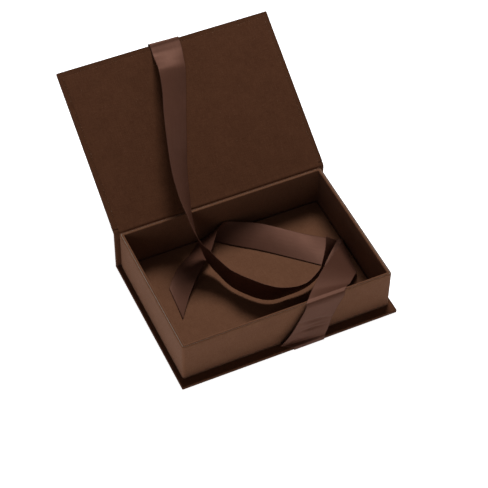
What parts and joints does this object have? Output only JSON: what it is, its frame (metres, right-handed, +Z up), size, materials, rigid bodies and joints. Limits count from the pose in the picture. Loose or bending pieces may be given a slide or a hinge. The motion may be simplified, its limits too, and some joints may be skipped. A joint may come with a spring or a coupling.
{
  "type": "hinged presentation box",
  "caption": "Open book-style presentation box: a cloth-covered tray in a hinged hard case, with a satin tie ribbon from the lid and one from the base.",
  "frame": {"origin": "centre of the base board's underside, where the box rests", "axes": "X along the spine to the right, Y from the front edge to the spine, Z up"},
  "size_m": [0.1792, 0.2428, 0.1146],
  "materials": {
    "grey_board": "matt grey board",
    "case_cloth": "dark brown book cloth, fine plain weave, faint sheen",
    "lid_lining_cloth": "brown book cloth, fine plain weave",
    "tray_cloth": "mid brown book cloth, fine plain weave",
    "liner_paper": "matt lining paper",
    "floor_card": "matt card",
    "satin_ribbon": "brown satin, soft sheen across the ribbon"
  },
  "bodies": {
    "case": {"base_board": "grey_board", "base_cloth": "case_cloth", "base_liner": "liner_paper", "spine_board": "grey_board", "spine_cloth": "case_cloth", "spine_lining": "lid_lining_cloth", "hinge_cloth": "case_cloth", "hinge_lining": "lid_lining_cloth", "tray_front_board": "grey_board", "tray_back_board": "grey_board", "tray_left_board": "grey_board", "tray_right_board": "grey_board", "tray_wrap": "tray_cloth", "tray_lining": "tray_cloth", "floor_card": "floor_card", "floor_cloth": "tray_cloth", "base_ribbon_tab": "satin_ribbon", "base_ribbon": "satin_ribbon", "lid_ribbon_tail": "satin_ribbon"},
    "lid": {"lid_board": "grey_board", "lid_cloth": "case_cloth", "lid_lining": "lid_lining_cloth", "lid_ribbon_tab": "satin_ribbon", "lid_ribbon": "satin_ribbon"}
  },
  "joints": [
    {"name": "lid_hinge", "type": "hinge", "parent": "case", "child": "lid", "pos_m": [0, 0.06575, 0.0416], "axis": [1, 0, 0], "range_deg": [-33.2, 146.8], "deforming": ["lid_ribbon", "hinge_lining"]}
  ]
}
